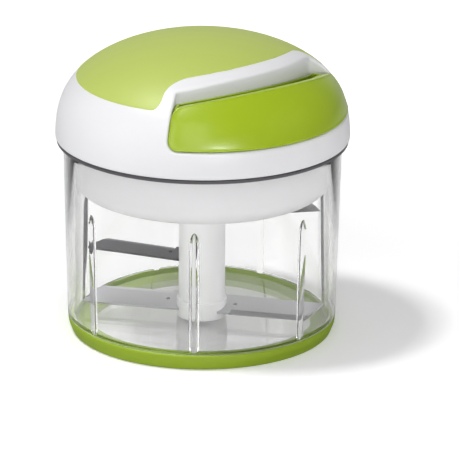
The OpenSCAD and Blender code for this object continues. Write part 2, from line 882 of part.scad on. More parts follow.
module drive_shaft() {
    hex_low_z = socket_z + hex_end_gap;
    color(steel)
        difference() {
            union() {
                translate([0, 0, hex_low_z])
                    cylinder(r = hex_r(hex_flats), h = column_top_z + 1 - hex_low_z, $fn = 6);
                translate([0, 0, column_top_z])
                    cylinder(r = shaft_r, h = shaft_top_z - column_top_z);
            }
            translate([0, 0, clip_z])
                difference() {
                    cylinder(r = shaft_r + 1, h = clip_t);
                    translate([0, 0, -1])
                        cylinder(r = shaft_r - clip_groove, h = clip_t + 2);
                }
        }
}

module ratchet_wheel() {
    color(steel)
        translate([0, 0, ratchet_z])
            linear_extrude(ratchet_h)
                difference() {
                    ratchet_outline();
                    circle(r = shaft_r + part_fit / 4);
                }
}

module retaining_clip() {
    color(steel)
        translate([0, 0, clip_z + part_fit / 2])
            linear_extrude(clip_t - part_fit)
                difference() {
                    circle(r = shaft_r + clip_rim);
                    circle(r = shaft_r - clip_groove + part_fit / 2);
                    translate([0, -shaft_r])
                        square([shaft_r, shaft_r * 2], center = true);
                }
}

module cord_reel() {
    color(white)
        difference() {
            union() {
                translate([0, 0, reel_z])
                    cylinder(r = drum_r, h = reel_h);
                for (z = [reel_z, reel_top_z - reel_flange_t])
                    translate([0, 0, z])
                        cylinder(r = reel_flange_r, h = reel_flange_t);
                translate([0, 0, reel_top_z - eps])
                    cylinder(r = arbor_r, h = arbor_h);
            }
            translate([0, 0, reel_z - 1])
                cylinder(r = cavity_r, h = cavity_h + 1);
            translate([0, 0, reel_z])
                cylinder(r = shaft_r + run_fit, h = far);
            for (turn = [0, 180])
                rotate([0, 0, turn + pawl_pivot_turn])
                    translate([pawl_pivot_r, 0, reel_z])
                        cylinder(r = pawl_pin_r + part_fit / 5, h = cavity_h + pawl_pin_bite, $fn = 32);
        }
}

module cord_winding() {
    color("#e8e8e4")
        translate([0, 0, reel_z + reel_flange_t + part_fit])
            difference() {
                cylinder(r = winding_r, h = reel_h - 2 * reel_flange_t - 2 * part_fit);
                translate([0, 0, -1])
                    cylinder(r = drum_r + part_fit, h = reel_h);
            }
}

module pawl_pins() {
    color(steel)
        for (turn = [0, 180])
            rotate([0, 0, turn + pawl_pivot_turn])
                translate([pawl_pivot_r, 0, ratchet_z - pawl_pin_foot])
                    cylinder(
                        r = pawl_pin_r, $fn = 32,
                        h = reel_z + cavity_h + pawl_pin_bite - pawl_pin_gap - ratchet_z + pawl_pin_foot
                    );
}

module pawl_a() {
    color("#8a8d91")
        pawl(0);
}

module pawl_b() {
    color("#8a8d91")
        pawl(180);
}

// Hollow behind the handle skin, drawn in by g
module handle_hollow(g) {
    intersection() {
        dome_solid(handle_skin + g, dome_base_z);
        recess_zone(-handle_seam - handle_side_skin - g);
        under_handle_top(handle_top_skin + g);
    }
}

module handle_grip() {
    color(lime)
        difference() {
            intersection() {
                dome_solid(0, dome_base_z);
                recess_zone(-handle_seam);
                under_handle_top(0);
            }
            arc_solid(handle_arc_back, handle_back_r, lip_start_z, handle_lip_r, lip_end_z);
            difference() {
                handle_hollow(0);
                for (x = [-handle_boss_x, handle_boss_x])
                    translate([x, plate_face_y + handle_boss_back, handle_screw_z])
                        rotate([90, 0, 0])
                            cylinder(r = handle_boss_r, h = far, $fn = 48);
            }
            arc_solid(handle_arc_back, handle_back_r + handle_plate_t + part_fit, lip_start_z,
                handle_lip_r - lip_step, lip_end_z);
            for (x = [-handle_boss_x, handle_boss_x])
                translate([x, plate_face_y + handle_screw_l, handle_screw_z])
                    rotate([90, 0, 0])
                        cylinder(r = screw_r + part_fit / 2, h = handle_hole_l, $fn = 32);
        }
}

module handle_back() {
    color(lime)
        difference() {
            intersection() {
                handle_hollow(part_fit);
                arc_solid(handle_arc_back, handle_back_r + handle_plate_t, lip_start_z,
                    handle_lip_r - lip_step - part_fit, lip_end_z);
            }
            arc_solid(handle_arc_back, handle_back_r, lip_start_z,
                handle_lip_r - lip_step - handle_plate_t, lip_end_z);
            translate([0, plate_face_y + over, cord_z])
                rotate([90, 0, 0])
                    cylinder(r = cord_r + cord_gap, h = handle_plate_t + 2 * over, $fn = 32);
            for (x = [-handle_boss_x, handle_boss_x])
                translate([x, plate_face_y + handle_screw_l, handle_screw_z])
                    rotate([90, 0, 0])
                        cylinder(r = screw_r + part_fit, h = handle_hole_l, $fn = 32);
        }
}

module handle_screws() {
    boss_face = handle_arc_back - sqrt(pow(handle_back_r, 2) - pow(handle_boss_x + screw_head_r, 2));
    color(steel)
        for (x = [-handle_boss_x, handle_boss_x])
            translate([x, boss_face + screw_head_t + handle_screw_sink, handle_screw_z])
                rotate([90, 0, 0])
                    screw(handle_screw_l);
}

module cord_anchor() {
    color("#6f7073")
        translate([0, anchor_y, cord_z])
            rotate([90, 0, 0])
                rotate_extrude($fn = 48)
                    polygon([[0, 0], [anchor_r, 0], [anchor_r, anchor_l - anchor_edge], [anchor_r - anchor_edge, anchor_l], [0, anchor_l]]);
}

module cord_lead() {
    color("#e8e8e4")
        swept_tube(lead_points, cord_r);
}

bowl();
base_ring();
pivot_pin();
blade_column();
upper_blade();
middle_blade();
lower_blade();
lid_dome();
top_cover();
lid_base();
seal_ring();
reel_deck();
deck_screws();
bearing_bush();
reel_housing();
housing_screws();
spring_tray();
recoil_spring();
cord_guide();
drive_shaft();
ratchet_wheel();
retaining_clip();
cord_reel();
cord_winding();
pawl_pins();
pawl_a();
pawl_b();
handle_grip();
handle_back();
handle_screws();
cord_anchor();
cord_lead();
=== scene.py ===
"""Looks of the manual pull cord food chopper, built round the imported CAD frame.

Lengths inside the shape functions are in millimetres, in the CAD frame: origin under the middle of the
base ring, +Z up, the handle pulls towards -Y. mesh_piece() turns them into metres.
"""

import math

import bmesh
import bpy
import numpy as np
from mathutils import Matrix, Vector


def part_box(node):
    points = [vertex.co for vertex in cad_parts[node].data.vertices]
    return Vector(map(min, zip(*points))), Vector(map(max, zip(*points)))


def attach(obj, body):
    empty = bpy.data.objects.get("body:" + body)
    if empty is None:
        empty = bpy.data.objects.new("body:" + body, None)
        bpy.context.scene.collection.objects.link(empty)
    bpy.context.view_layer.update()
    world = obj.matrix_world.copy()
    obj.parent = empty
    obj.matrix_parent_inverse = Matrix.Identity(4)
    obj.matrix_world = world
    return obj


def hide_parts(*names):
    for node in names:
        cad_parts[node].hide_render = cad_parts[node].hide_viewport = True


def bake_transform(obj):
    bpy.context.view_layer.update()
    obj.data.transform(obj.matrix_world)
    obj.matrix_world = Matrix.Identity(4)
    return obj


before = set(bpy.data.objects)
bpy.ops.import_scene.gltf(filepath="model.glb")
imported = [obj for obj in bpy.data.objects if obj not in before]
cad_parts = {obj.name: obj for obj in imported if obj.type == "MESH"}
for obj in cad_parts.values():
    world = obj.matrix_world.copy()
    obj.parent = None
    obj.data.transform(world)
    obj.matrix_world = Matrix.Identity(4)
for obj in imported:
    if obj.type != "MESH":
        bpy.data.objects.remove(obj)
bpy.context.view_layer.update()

MM = 0.001


def span(node):
    """Lowest and highest corner of a CAD node, in mm."""
    low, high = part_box(node)
    return np.array(low) / MM, np.array(high) / MM


# Sizes read from the frame (mm)
bowl_low, bowl_high = span("bowl")
ring_high = span("base_ring")[1]
column_low, column_high = span("blade_column")
plug_low, plug_high = span("lid_base")
seal_low, seal_high = span("seal_ring")
cord_low, cord_high = span("cord_lead")

LID_TOP_Z = span("top_cover")[1][2]
LID_RIM_Z = span("lid_dome")[0][2]
BOWL_RIM_R, BOWL_RIM_Z = bowl_high[0], bowl_high[2]
FLOOR_UNDER_Z = bowl_low[2]

# Lid curve: (r / LID_R) ** PLAN_POWER + ((z - DOME_BASE_Z) / rise) ** RISE_POWER = 1
LID_R = 67.0
DOME_BASE_Z = 88.0
PLAN_POWER = 1.75
RISE_POWER = 3.12
LID_SHELL_T = 1.6
BRIM_ROUND = 0.9
BRIM_IN = 0.8
SKIRT_IN = 3.2

# Bowl and base ring
BOWL_FOOT_R = 61.4
BOWL_WALL = 3.8
FOOT_R = 58.7
WALL_START_Z = 7.3
FLOOR_T = 3.6
BOWL_FILLET = 3.0
RIB_COUNT = 7
RIB_TURN = 18.5
RIB_HALF_W = 2.1
RIB_D = 1.4
RIB_LOW_Z = 8.0
RIB_TOP_Z = 65.0
RIB_TIP = 5.0
RIB_FADE_FROM_Z, RIB_FADE_TO_Z = RIB_LOW_Z - 1.5, RIB_LOW_Z + 2
RIB_DEG = 2.6  # half the turn that a rib takes, with close columns
GAP_FROM_DEG, GAP_TO_DEG = 3.2, 48.2  # the turn between two ribs, with wide columns
RING_SOLE_R = 59.3
RING_WIDE_Z = 4.8
RING_HOLE_R = 49.5
RING_BOND = 0.08

# Lid base, seal and blade column
PLUG_R = 59.0
PLUG_WALL = 2.2
PLUG_ROUND = 9.0
WELL_R = 12.4
WELL_TOP_Z = 77.0
SHAFT_HOLE_R = 6.0
SEAL_HOLE_R = 59.3
SEAL_STEP = 0.9
POST_R = 10.7
COLLAR_R = 11.5
COLLAR_TOP_Z = 15.3
SOCKET_FLATS = 11.2
SOCKET_Z = 60.0

# Recess
HALF_ANGLE = math.radians(56.5)
ARC_BACK = 26.0
RECESS_WALL_R = 66.3
RECESS_FOOT_R = 61.4
RECESS_FLOOR_Z = 104.4
RECESS_KNEE_Z = 117.0
RECESS_CORNER = 4.5
RECESS_TOP_CORNER = 1.2
RECESS_EDGE = 1.2
LID_SLOPE = 1.12  # length along the lid for one across, at the back of the recess

# Handle and finger strap
HANDLE_SEAM = 0.4
HANDLE_TOP_Z = 125.6
HANDLE_TOP_Y = -48.8
HANDLE_FALL = math.radians(17.0)
HANDLE_CANT = -0.03
HANDLE_CORNER = 4.2
HANDLE_TOP_CORNER = 3.4
HANDLE_EDGE = 0.4
BEAD_IN = (0.9, 0.76, 0.62, 0.47, 0.3, 0.12)
BEAD_LIFT = (0.0, 0.05, 0.17, 0.23, 0.19, 0.07)
PANEL_T = 1.7
PANEL_SLANT = 1.4  # thickness measured level for one measured square to the panel
PANEL_FROM, PANEL_TO = -6.0, -0.5  # below the top face, where the solid side gives way to the thin panel
GUTTER_Z = 116.5
HANDLE_ARC_BACK = 12.0
HANDLE_BACK_R = 67.2
HANDLE_BACK_Z = 112.0
HANDLE_LIP_R = 58.0
LIP_START_Z, LIP_END_Z = 114.0, 123.0
STRAP_R = 67.3
STRAP_T = 1.2
STRAP_CHAMFER = 0.3
STRAP_LOW_Z = 113.8
STRAP_RISE = 1.0
STRAP_DIP = -1.0
STRAP_DIP_FROM_R, STRAP_DIP_TO_R = 51.0, 57.0
STRAP_END_GAP = math.radians(1.4)
STRAP_END_Z = 118.0
STRAP_END_SHARE = 0.94

# Top cover
COVER_EDGE_Z = 120.0
COVER_T = 1.3
COVER_BED = COVER_T + 0.05
BED_FROM, BED_TO = 1.0, 4.0  # inside the cover's outline, where the dome sinks to that bed
COVER_PROUD = 0.12
COVER_ROUND = 0.35
COVER_HAIRLINE = 0.02
COVER_SIDE_GAP = 5.5
COVER_ARC_BACK = 25.0
COVER_BACK_R = 58.9
COVER_CORNER_IN = 9.0
COVER_CORNER_OUT = 4.5

# Cord inside the lid
CORD_KNEE_Y = -32.0
CORD_KNEE_SHARE = 0.7
CORD_KNEE_RUN = 4.0


# Materials

# Sockets of the colour mix, which has several of the same name
MIX_SHARE, MIX_A, MIX_B, MIX_COLOUR = 0, 6, 7, 2


def linear(code):
    """Linear colour with alpha of an sRGB hex code."""
    value = np.array([int(code[i:i + 2], 16) for i in (1, 3, 5)]) / 255
    value = np.where(value <= 0.04045, value / 12.92, ((value + 0.055) / 1.055) ** 2.4)
    return (*value.tolist(), 1.0)


def add(tree, kind, inputs=None, **settings):
    """Add one shader node: settings are its attributes, inputs its socket values or linked sockets."""
    made = tree.nodes.new(kind)
    for name, value in settings.items():
        setattr(made, name, value)
    for name, value in (inputs or {}).items():
        if isinstance(value, bpy.types.NodeSocket):
            tree.links.new(value, made.inputs[name])
        else:
            made.inputs[name].default_value = value
    return made


def new_material(name):
    """Empty node material and its tree."""
    made = bpy.data.materials.new(name)
    made.use_nodes = True
    made.node_tree.nodes.clear()
    return made, made.node_tree


def close_material(tree, surface):
    """Link a shader socket to the material output."""
    add(tree, "ShaderNodeOutputMaterial", {"Surface": surface})


def moulded(name, code, rough, grain_mm, grain_depth, coat=0.0, cloud_code=None):
    """Moulded plastic or rubber: an even colour with a slight cloud, and a grain that breaks up the gloss.

    A tool's real grain is about 0.1 mm. It is drawn at 0.4 to 0.8 mm, so that it shows in the picture."""
    made, tree = new_material(name)
    place = add(tree, "ShaderNodeTexCoord").outputs["Object"]
    cloud = add(tree, "ShaderNodeTexNoise", {"Vector": place, "Scale": 1 / (18 * MM), "Detail": 2.0})
    cloud_colour = (*[part * 0.97 for part in linear(cloud_code or code)[:3]], 1.0)
    shade = add(tree, "ShaderNodeMix", {
        MIX_SHARE: cloud.outputs["Fac"], MIX_A: linear(code), MIX_B: cloud_colour}, data_type="RGBA")
    grain = add(tree, "ShaderNodeTexNoise", {"Vector": place, "Scale": 1 / (grain_mm * MM), "Detail": 2.0})
    spread = add(tree, "ShaderNodeMapRange", {
        "Value": grain.outputs["Fac"], "To Min": rough * 0.92, "To Max": rough * 1.08})
    bump = add(tree, "ShaderNodeBump", {
        "Height": grain.outputs["Fac"], "Strength": 0.25, "Distance": grain_depth * MM})
    shader = add(tree, "ShaderNodeBsdfPrincipled", {
        "Base Color": shade.outputs[MIX_COLOUR], "Roughness": spread.outputs["Result"], "IOR": 1.53,
        "Coat Weight": coat, "Coat Roughness": 0.16, "Normal": bump.outputs["Normal"]})
    close_material(tree, shader.outputs["BSDF"])
    return made


def clear_san(name):
    """Clear moulded SAN: refracts for the eye, with a slow waviness from the melt's flow.

    Lamp and bounce light pass straight through, so that the inside is lit, and so does part of what the eye
    sees where the wall turns away, so that the bowl's sides stay pale."""
    made, tree = new_material(name)
    place = add(tree, "ShaderNodeTexCoord").outputs["Object"]
    flow = add(tree, "ShaderNodeTexNoise", {"Vector": place, "Scale": 1 / (30 * MM), "Detail": 1.0})
    bump = add(tree, "ShaderNodeBump", {
        "Height": flow.outputs["Fac"], "Strength": 0.06, "Distance": 0.2 * MM})
    body = add(tree, "ShaderNodeBsdfPrincipled", {
        "Base Color": linear("#FFFFFF"), "Roughness": 0.015, "IOR": 1.52, "Transmission Weight": 1.0,
        "Normal": bump.outputs["Normal"]})
    through = add(tree, "ShaderNodeBsdfTransparent", {"Color": linear("#FEFEFE")})
    path = add(tree, "ShaderNodeLightPath")
    light = add(tree, "ShaderNodeMath", {
        0: path.outputs["Is Shadow Ray"], 1: path.outputs["Is Diffuse Ray"]}, operation="MAXIMUM")
    slant = add(tree, "ShaderNodeLayerWeight", {"Blend": 0.5})
    edge = add(tree, "ShaderNodeMapRange", {
        "Value": slant.outputs["Facing"], "From Min": 0.6, "From Max": 0.85, "To Max": 0.7})
    passes = add(tree, "ShaderNodeMath", {
        0: light.outputs["Value"], 1: edge.outputs["Result"]}, operation="MAXIMUM")
    mixed = add(tree, "ShaderNodeMixShader", {
        "Fac": passes.outputs["Value"], 1: body.outputs["BSDF"], 2: through.outputs["BSDF"]})
    close_material(tree, mixed.outputs["Shader"])
    return made


def brushed(name, code, rough, turn=0.0, fine_mm=0.12, long_mm=12.0):
    """Brushed or drawn metal: streaks, long along turn and fine across it, vary roughness and height.

    Real scratches are about 0.03 mm across. They are drawn at 0.12 to 0.15 mm, so that they show."""
    made, tree = new_material(name)
    place = add(tree, "ShaderNodeTexCoord").outputs["Object"]
    along, across = 1 / (long_mm * MM), 1 / (fine_mm * MM)
    lay = add(tree, "ShaderNodeMapping", {
        "Vector": place, "Rotation": (0.0, 0.0, -turn), "Scale": (along, across, across)},
        vector_type="POINT")
    streak = add(tree, "ShaderNodeTexNoise", {"Vector": lay.outputs["Vector"], "Scale": 1.0, "Detail": 3.0})
    spread = add(tree, "ShaderNodeMapRange", {
        "Value": streak.outputs["Fac"], "To Min": rough - 0.08, "To Max": rough + 0.08})
    bump = add(tree, "ShaderNodeBump", {
        "Height": streak.outputs["Fac"], "Strength": 0.15, "Distance": 0.01 * MM})
    shader = add(tree, "ShaderNodeBsdfPrincipled", {
        "Base Color": linear(code), "Metallic": 1.0, "Roughness": spread.outputs["Result"],
        "Normal": bump.outputs["Normal"]})
    close_material(tree, shader.outputs["BSDF"])
    return made


def braided(name, code):
    """Braided polyester cord: one diagonal wave raises the strands.

    The wave repeats about every 2 mm, where real strands lie about 1 mm apart, so that it shows."""
    made, tree = new_material(name)
    place = add(tree, "ShaderNodeTexCoord").outputs["Object"]
    strand = add(tree, "ShaderNodeTexWave", {
        "Vector": place, "Scale": 1 / (6 * MM)}, bands_direction="DIAGONAL")
    bump = add(tree, "ShaderNodeBump", {
        "Height": strand.outputs["Fac"], "Strength": 0.5, "Distance": 0.1 * MM})
    shader = add(tree, "ShaderNodeBsdfPrincipled", {
        "Base Color": linear(code), "Roughness": 0.8, "Normal": bump.outputs["Normal"]})
    close_material(tree, shader.outputs["BSDF"])
    return made


# ABS from a satin tool: a clean white with a soft, broad sheen along the curve of the lid
white_abs = moulded("white satin ABS", "#F1F1F3", 0.34, 0.5, 0.01, coat=0.06)
# Plain polypropylene dish: white with no lacquer look, shaded softly round its large lower edge
white_pp = moulded("white moulded polypropylene", "#EEEDEF", 0.34, 0.5, 0.01)
# Acetal, slippery and dense: its white is painted brighter than the dish's, painted light that stands for the
# light on the post, so that the post stands out inside the clear bowl
white_pom_painted_lit = moulded("bright white acetal", "#FCFCFD", 0.3, 0.5, 0.01)
# ABS from a polished tool: a strong lime with a sharp highlight that lies over a softer one
lime_gloss = moulded("glossy lime ABS", "#A2BC14", 0.32, 0.8, 0.003, coat=0.35, cloud_code="#A6C020")
# Soft touch plastic from a matt tool: a pale lime that fades evenly into a wide, dull sheen
lime_soft = moulded("pale lime soft touch plastic", "#BFD066", 0.46, 0.4, 0.02)
# Thermoplastic rubber: a deep, dry lime that hardly reflects
lime_tpe = moulded("lime thermoplastic rubber", "#94AF1E", 0.6, 0.5, 0.02)
# Silicone: dull dark grey, which reads as a shadow line under the lid
grey_silicone = moulded("grey silicone", "#5A575B", 0.5, 0.4, 0.02)
# Plain moulded plastic of guide and anchor: mid grey and dull
grey_plastic = moulded("grey moulded plastic", "#6F7072", 0.5, 0.5, 0.02)
# Unpolished ABS of the works inside the lid: light grey, with no highlight to speak of
inner_abs = moulded("plain inner ABS", "#D3D4D6", 0.45, 0.5, 0.02)
# Polished SAN: water clear, it bends what is behind it, and shows bright lines along ribs and edges
clear = clear_san("clear SAN")
# Drawn wire and pressed steel: cool grey with short, fine streaks
plain_steel = brushed("drawn steel", "#B4B6BA", 0.32)
# Turned brass: warm yellow with fine lathe marks
brass = brushed("turned brass", "#C9A85C", 0.3)
# Braided polyester: an off-white, dry cord with a raised diagonal rib
cord_braid = braided("braided polyester cord", "#EFEFEA")


# Shape helpers

WELD = 0.002 * MM
SLIVER = 0.001 * MM
ARC_STEPS = 7


def skin(loops):
    """Quads between rows of points, each row a closed loop: rows x columns x 3 gives points and faces."""
    count, width = loops.shape[:2]
    index = np.arange(count * width).reshape(count, width)
    after = np.roll(index, -1, 1)
    quads = np.stack([index[:-1], after[:-1], after[1:], index[1:]], -1)
    return loops.reshape(-1, 3), quads.reshape(-1, 4)


def mesh_piece(name, loops, material, body, slot, *nodes, sharp=40.0):
    """Closed piece from rows of points in mm, welded, with its faces outward.

    It rides on a body and stands for the CAD nodes that are named. Its slot is not used."""
    points, quads = skin(loops)
    data = bpy.data.meshes.new(name)
    data.from_pydata((points * MM).tolist(), [], quads.tolist())
    shape = bmesh.new()
    shape.from_mesh(data)
    bmesh.ops.remove_doubles(shape, verts=shape.verts, dist=WELD)
    bmesh.ops.dissolve_degenerate(shape, edges=shape.edges, dist=SLIVER)
    bmesh.ops.recalc_face_normals(shape, faces=shape.faces)
    shape.to_mesh(data)
    shape.free()
    data.polygons.foreach_set("use_smooth", np.ones(len(data.polygons), bool))
    data.set_sharp_from_angle(angle=math.radians(sharp))
    data.materials.append(material)
    made = bpy.data.objects.new(name, data)
    bpy.context.scene.collection.objects.link(made)
    if body:
        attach(made, body)
    if nodes:
        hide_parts(*nodes)
    return made


def rounded(corners, steps=ARC_STEPS):
    """Closed profile from corners (radius, height, cut): each becomes an arc that starts and ends cut away.

    The arc is a rational quadratic curve, whose middle weight is the sine of half the corner's angle."""
    corners = np.array(corners, float)
    point, cut = corners[:, :2], corners[:, 2:]
    back = np.roll(point, 1, 0) - point
    on = np.roll(point, -1, 0) - point
    back /= np.linalg.norm(back, axis=1, keepdims=True)
    on /= np.linalg.norm(on, axis=1, keepdims=True)
    pull = np.sqrt((1 - (back * on).sum(1)) / 2)[:, None, None]
    t = np.linspace(0, 1, steps)[None, :, None]
    first, last = (1 - t) ** 2, t ** 2
    middle = 2 * t * (1 - t) * pull
    start, end = point + back * cut, point + on * cut
    arc = first * start[:, None] + middle * point[:, None] + last * end[:, None]
    return (arc / (first + middle + last)).reshape(-1, 2)


def full_turn(columns):
    """Angles at even steps round a circle."""
    return np.linspace(0, 2 * np.pi, columns, endpoint=False)


def turned(profile, columns=240):
    """Rows of points of a profile (radius, height) turned about Z."""
    angle = full_turn(columns)
    loops = np.empty((len(profile), columns, 3))
    loops[..., 0] = profile[:, :1] * np.cos(angle)
    loops[..., 1] = profile[:, :1] * np.sin(angle)
    loops[..., 2] = profile[:, 1:]
    return loops


def closed(loops):
    """Rows with the first row repeated at the end, so the skin closes on itself."""
    return np.concatenate([loops, loops[:1]])


def capped(loops):
    """Rows with a row at each end that lies on the middle of the end loop, so a tube closes."""
    ends = loops[[0, -1]].mean(1, keepdims=True).repeat(loops.shape[1], 1)
    return np.concatenate([ends[:1], loops, ends[1:]])


def smooth_step(low, high, value):
    """0 below low, 1 above high, and 3 t t - 2 t t t between."""
    t = np.clip((value - low) / (high - low), 0, 1)
    return t * t * (3 - 2 * t)


def meet(a, b, radius):
    """Signed distance to where two regions overlap, with their corner rounded to radius."""
    grown = np.hypot(np.maximum(a + radius, 0), np.maximum(b + radius, 0))
    return np.minimum(np.maximum(a, b), -radius) + grown


def bend(first, corner, last, steps=6):
    """Rows of a quadratic curve from first to last that aims at corner."""
    t = np.linspace(0, 1, steps)[:, None, None]
    return (1 - t) ** 2 * first + 2 * t * (1 - t) * corner + t ** 2 * last


def between(first, last, steps):
    """Rows at even steps on the straight way from first to last, both included."""
    t = np.linspace(0, 1, steps)[:, None, None]
    return first + (last - first) * t


# The lid curve: radius, height and unit lean at each length along it, from the top down

curve_turn = np.linspace(np.pi / 2, 0, 6001)
curve_r = LID_R * np.cos(curve_turn) ** (2 / PLAN_POWER)
curve_z = DOME_BASE_Z + (LID_TOP_Z - DOME_BASE_Z) * np.sin(curve_turn) ** (2 / RISE_POWER)
curve_r[0] = 0.0
curve_s = np.concatenate([[0], np.cumsum(np.hypot(np.diff(curve_r), np.diff(curve_z)))])
lean_r = np.gradient(curve_r, curve_s)
lean_z = np.gradient(curve_z, curve_s)
RIM_S = np.interp(-LID_RIM_Z, -curve_z, curve_s)


def lid_radius(height):
    """Radius of the lid curve at a height."""
    return np.interp(-height, -curve_z, curve_r)


def on_dome(flat, lift=0.0):
    """Points of the lid for flat points, whose distance from 0 is the length along the lid curve.

    They are raised by lift along the curve's normal, which is its lean turned by a right angle."""
    s = np.hypot(flat[..., 0], flat[..., 1])
    way = flat / np.maximum(s, 1e-9)[..., None]
    r = np.interp(s, curve_s, curve_r)
    z = np.interp(s, curve_s, curve_z)
    out_r = -np.interp(s, curve_s, lean_z)
    out_z = np.interp(s, curve_s, lean_r)
    lift = np.broadcast_to(lift, s.shape)
    return np.concatenate([way * (r + out_r * lift)[..., None], (z + out_z * lift)[..., None]], -1)


def rays(field, centre, level, angle, reach=140.0, samples=900):
    """Flat points, one per direction round centre, where field on the lid first rises to level.

    Each ray is sampled at even steps, and the crossing lies on the straight line between its two samples."""
    way = np.stack([np.cos(angle), np.sin(angle)], -1)
    far = np.linspace(0, reach, samples)
    flat = np.array(centre) + way[:, None] * far[None, :, None]
    value = field(on_dome(flat)) - level
    value[:, -1] = np.maximum(value[:, -1], 1e-6)
    hit = np.maximum(np.argmax(value > 0, 1), 1)
    pick = np.arange(len(angle))
    before, after = value[pick, hit - 1], value[pick, hit]
    along = far[hit - 1] + (far[hit] - far[hit - 1]) * np.clip(-before / (after - before), 0, 1)
    return np.array(centre) + way * along[:, None]


def even_rays(field, centre, columns, samples=2400):
    """Directions round centre whose rays meet the outline of field at even steps of its length."""
    angle = full_turn(samples)
    outline = rays(field, centre, 0.0, angle)
    step = np.linalg.norm(np.roll(outline, -1, 0) - outline, axis=1)
    length = np.concatenate([[0], np.cumsum(step)])
    return np.interp(length[-1] * np.arange(columns) / columns, length, np.append(angle, 2 * np.pi))


def wedge(point):
    """Signed distance to the wedge of the recess, negative inside."""
    return np.abs(point[..., 0]) * math.cos(HALF_ANGLE) + point[..., 1] * math.sin(HALF_ANGLE)


def arc_distance(point, arc_back):
    """Distance from an upright line that stands arc_back behind the lid axis."""
    return np.hypot(point[..., 0], point[..., 1] - arc_back)


def on_arc(point, radius, arc_back):
    """Points moved on their line from the lid axis to a radius about an upright line arc_back behind it.

    With b the part of arc_back along that line, they end at a distance from the axis of
    b + sqrt(b b - arc_back arc_back + radius radius)."""
    r = np.hypot(point[..., 0], point[..., 1])
    way = point[..., :2] / r[..., None]
    back = way[..., 1] * arc_back
    reach = back + np.sqrt(back ** 2 - arc_back ** 2 + radius ** 2)
    moved = point.copy()
    moved[..., :2] = way * reach[..., None]
    return moved


def recess_field(point):
    """Signed distance on the lid to the mouth of the recess: wedge, floor and back arc, corners rounded."""
    ends = meet(wedge(point), RECESS_FLOOR_Z - point[..., 2], RECESS_CORNER)
    return meet(ends, (RECESS_WALL_R - arc_distance(point, ARC_BACK)) * LID_SLOPE, RECESS_TOP_CORNER)


def handle_top(point):
    """Height of a point above the handle's top face, which falls towards the front with a slight cant."""
    fall = (HANDLE_TOP_Y - point[..., 1]) * math.tan(HANDLE_FALL) + point[..., 0] * HANDLE_CANT
    return point[..., 2] - HANDLE_TOP_Z - fall


def handle_field(point):
    """Signed distance on the lid to the handle's outline: the recess less a seam, cut by the top face."""
    low = RECESS_FLOOR_Z + HANDLE_SEAM - point[..., 2]
    ends = meet(wedge(point) + HANDLE_SEAM, low, HANDLE_CORNER)
    return meet(ends, handle_top(point), HANDLE_TOP_CORNER)


def cover_field(point):
    """Signed distance on the lid to the outline of the top cover: a cap less a bite round the recess."""
    back = (COVER_BACK_R - arc_distance(point, COVER_ARC_BACK)) * LID_SLOPE
    bite = meet(wedge(point) - COVER_SIDE_GAP, back, COVER_CORNER_IN)
    return meet(COVER_EDGE_Z - point[..., 2], -bite, COVER_CORNER_OUT)


# Pieces


def wall_radius(height):
    """Radius of the recess's back wall: upright above RECESS_KNEE_Z, leaning straight back to the floor."""
    return np.interp(height, [RECESS_FLOOR_Z, RECESS_KNEE_Z], [RECESS_FOOT_R, RECESS_WALL_R])


def recess_wall(start, share):
    """Rows of the recess from its start points down to the floor, one for each share of the way.

    The back wall follows wall_radius, which makes room for fingers. A start point that stands before the wall
    comes nearer to it in step with its fall, so the ends and the floor close on the wall's foot."""
    share = share[:, None]
    rows = start + np.zeros((len(share), 1, 1))
    rows[..., 2] += (RECESS_FLOOR_Z - start[:, 2]) * share
    before = start - on_arc(start, wall_radius(start[:, 2]), ARC_BACK)
    rows = on_arc(rows, wall_radius(rows[..., 2]), ARC_BACK)
    rows[..., :2] += before[:, :2] * (1 - share)[..., None]
    return rows


def build_dome():
    """White lid shell: the lid curve from the recess mouth to the rim, the rounded mouth, and the recess.

    Rows run on straight flat lines from the rim to the mouth and sink to a bed under the cover. The rim
    rounds into a brim and a short skirt below, and Solidify gives the wall."""
    columns = 520
    centre = np.array([0.0, -72.0])
    mouth = rays(recess_field, centre, 0.0, full_turn(columns))
    edge = rays(recess_field, centre, RECESS_EDGE, full_turn(columns))
    way = (edge - centre) / np.linalg.norm(edge - centre, axis=1, keepdims=True)
    along = (centre * way).sum(1)
    reach = -along + np.sqrt(along ** 2 - (centre ** 2).sum() + (RIM_S - BRIM_ROUND) ** 2)
    rim = centre + way * reach[:, None]
    t = np.linspace(0, 1, 46)[:, None, None] ** 1.15
    flat = rim + (edge - rim) * t
    sunk = -smooth_step(BED_FROM, BED_TO, -cover_field(on_dome(flat))) * COVER_BED
    shell = on_dome(flat, sunk)
    corner = on_dome(mouth)
    inward = recess_wall(corner, np.array([0.05]))[0] - corner
    inward /= np.linalg.norm(inward, axis=1, keepdims=True)
    lip = bend(shell[-1], corner, corner + inward * RECESS_EDGE)
    wall = recess_wall(lip[-1], np.linspace(0, 1, 16))
    low = on_dome(rim)
    under = low.copy()
    under[:, :2] *= ((LID_R - BRIM_IN) / np.hypot(low[:, 0], low[:, 1]))[:, None]
    under[:, 2] = LID_RIM_Z
    brim = low.copy()
    brim[:, 2] = LID_RIM_Z
    inner = under.copy()
    inner[:, :2] *= (LID_R - SKIRT_IN) / (LID_R - BRIM_IN)
    skirt = np.concatenate([inner[None], bend(under, brim, low)[:-1]])
    loops = np.concatenate([skirt, shell, lip[1:], wall[1:]])
    made = mesh_piece("lid_dome_skin", loops, white_abs, "lid", "white_gloss", "lid_dome", sharp=50)
    thick = made.modifiers.new("shell", "SOLIDIFY")
    thick.thickness = LID_SHELL_T * MM
    thick.offset = -1.0


